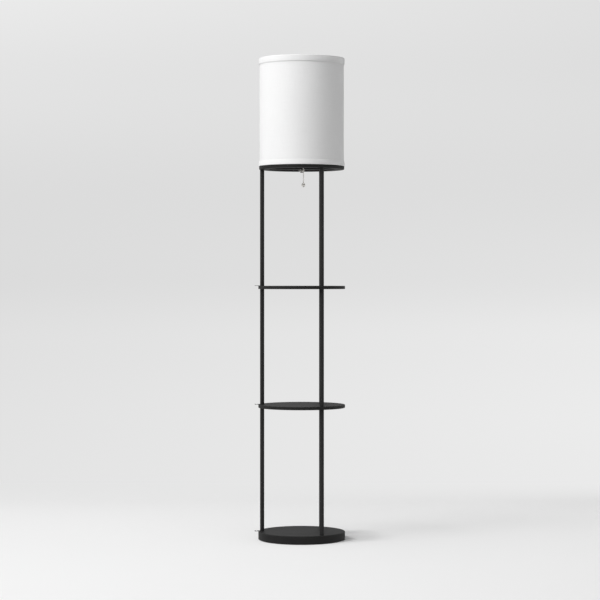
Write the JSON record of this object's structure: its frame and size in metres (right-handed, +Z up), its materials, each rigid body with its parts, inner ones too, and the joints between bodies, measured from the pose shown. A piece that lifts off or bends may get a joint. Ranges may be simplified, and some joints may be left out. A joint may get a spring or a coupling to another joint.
{
  "type": "shelf floor lamp",
  "caption": "Round floor lamp with open shelves between slim black poles, a weighted base and a white fabric drum shade with a pull chain.",
  "frame": {"origin": "centre of the base's underside, on the floor", "axes": "+Z up; -Y towards the viewer, +X to the viewer's right; the pole with the cord guides stands at -X"},
  "size_m": [0.273, 0.262, 1.4477],
  "materials": {
    "black_board": "satin black lacquer",
    "black_steel": "satin black powder coat",
    "weight_iron": "rough cast",
    "felt": "pressed felt",
    "zinc_steel": "zinc plated",
    "nickel": "bright nickel plate",
    "phenolic": "moulded black",
    "paper_liner": "plain fibre",
    "brass": "bright",
    "shade_fabric": "white woven cloth",
    "hem_fabric": "white folded cloth",
    "shade_styrene": "white translucent sheet",
    "white_wire": "white enamel",
    "bulb_plastic": "white",
    "bulb_diffuser": "frosted white",
    "bulb_metal": "bright"
  },
  "bodies": {
    "lamp": {"base_board": "black_board", "lower_shelf": "black_board", "upper_shelf": "black_board", "top_ring": "black_board", "base_weight": "weight_iron", "base_pad": "felt", "weight_screws": "zinc_steel", "pole_inserts": "zinc_steel", "shelf_studs": "zinc_steel", "base_bolts": "zinc_steel", "bolt_washers": "zinc_steel", "lower_pole_left": "black_steel", "lower_pole_front": "black_steel", "lower_pole_back": "black_steel", "middle_pole_left": "black_steel", "middle_pole_front": "black_steel", "middle_pole_back": "black_steel", "upper_pole_left": "black_steel", "upper_pole_front": "black_steel", "upper_pole_back": "black_steel", "pole_spacers": "black_steel", "base_cord_guide": "black_steel", "lower_cord_guide": "black_steel", "upper_cord_guide": "black_steel", "ring_screws": "black_steel", "nipple": "nickel", "nipple_washer": "nickel", "nipple_nut": "nickel", "socket_cap": "nickel", "socket_shell": "nickel", "chain_spout": "nickel", "shade_ring_nut": "nickel", "cord_bushing": "phenolic", "holder_body": "phenolic", "socket_liner": "paper_liner", "screw_shell": "brass", "centre_contact": "brass", "fitter_frame": "white_wire", "upper_wire": "white_wire", "shade_liner": "shade_styrene", "shade_fabric": "shade_fabric", "lower_hem": "hem_fabric", "upper_hem": "hem_fabric", "bulb_cap": "bulb_metal", "bulb_contact": "bulb_metal", "bulb_body": "bulb_plastic", "bulb_globe": "bulb_diffuser"},
    "spool": {"switch_spool": "phenolic"},
    "chain_lead_body": {"chain_lead": "nickel"},
    "hanging_chain": {"ball_chain": "nickel", "chain_pendant": "nickel"}
  },
  "joints": [
    {"name": "chain_pull", "type": "slide", "parent": "lamp", "child": "chain_lead_body", "axis": [0, 0, -1], "range_m": [0, 0.00785], "stiffness_N_per_m": 600, "springref_m": -0.002},
    {"name": "chain_swing", "type": "hinge", "parent": "chain_lead_body", "child": "hanging_chain", "pos_m": [0.00532, -0.02135, 1.141], "axis": [0, 1, 0], "range_deg": [-25, 25]},
    {"name": "spool_turn", "type": "hinge", "parent": "lamp", "child": "spool", "pos_m": [0.00194, -0.00776, 1.154], "axis": [-0.9703, -0.2419, 0], "range_deg": [0, 90]}
  ],
  "couplings": [
    {"joint": "spool_turn", "follows": "chain_pull", "rad_per_m": 200}
  ]
}
